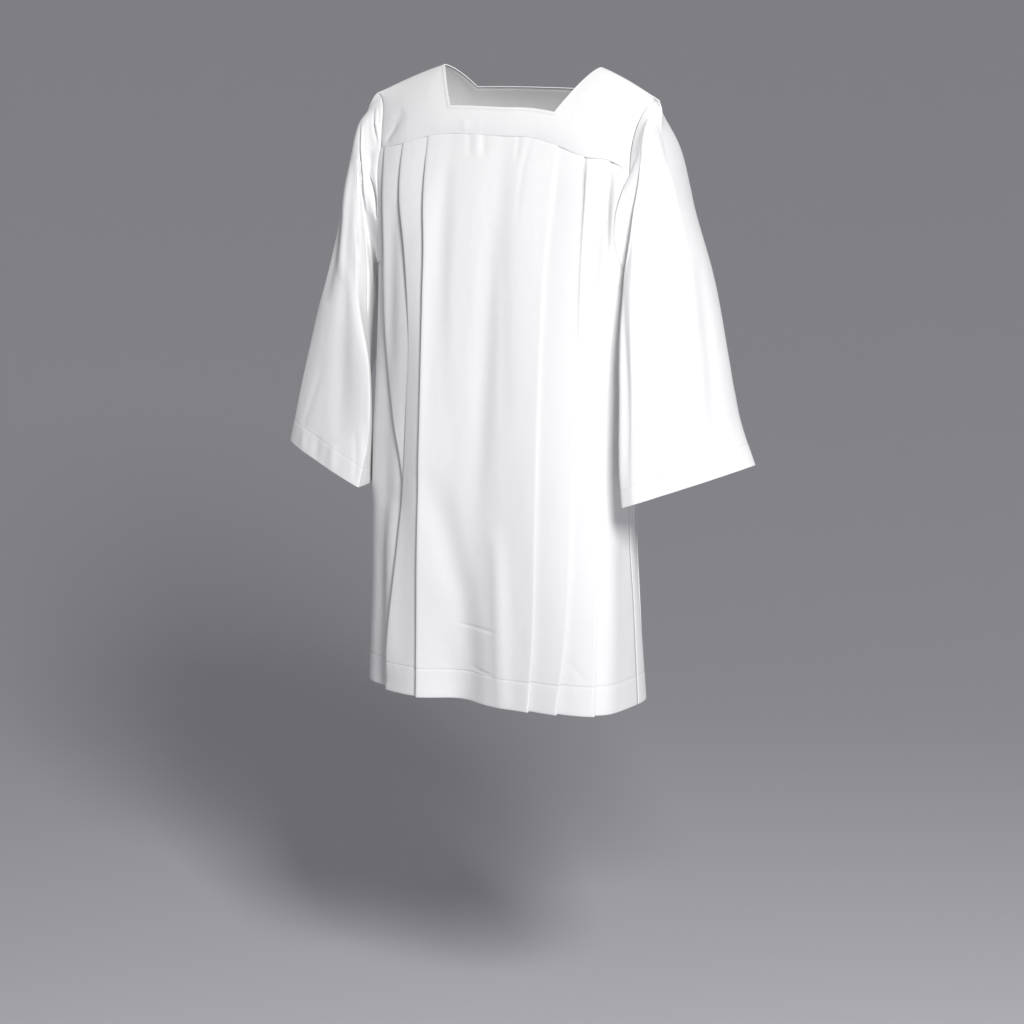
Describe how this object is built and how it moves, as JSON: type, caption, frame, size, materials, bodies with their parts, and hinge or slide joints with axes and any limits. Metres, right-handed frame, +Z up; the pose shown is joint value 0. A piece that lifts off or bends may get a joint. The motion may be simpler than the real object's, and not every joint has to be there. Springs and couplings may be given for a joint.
{
  "type": "surplice",
  "caption": "Knee-length white surplice, hanging as worn: square neck and yoke, knife-pleated front and back, wide bell sleeves.",
  "frame": {"origin": "middle of the shoulder ridge, where the wearer's shoulders and neck hold the garment up", "axes": "+Z up, the garment's front faces -Y, the wearer's left is +X"},
  "size_m": [0.763, 0.2702, 0.9579],
  "materials": {
    "cloth": "matte plain-weave white cloth",
    "yoke_cloth": "matte plain-weave white cloth, pressed flat"
  },
  "bodies": {
    "root": {"yoke_front": "yoke_cloth", "yoke_back": "yoke_cloth", "panel_front": "cloth", "panel_back": "cloth", "sleeve_left": "cloth", "sleeve_right": "cloth"}
  },
  "joints": []
}
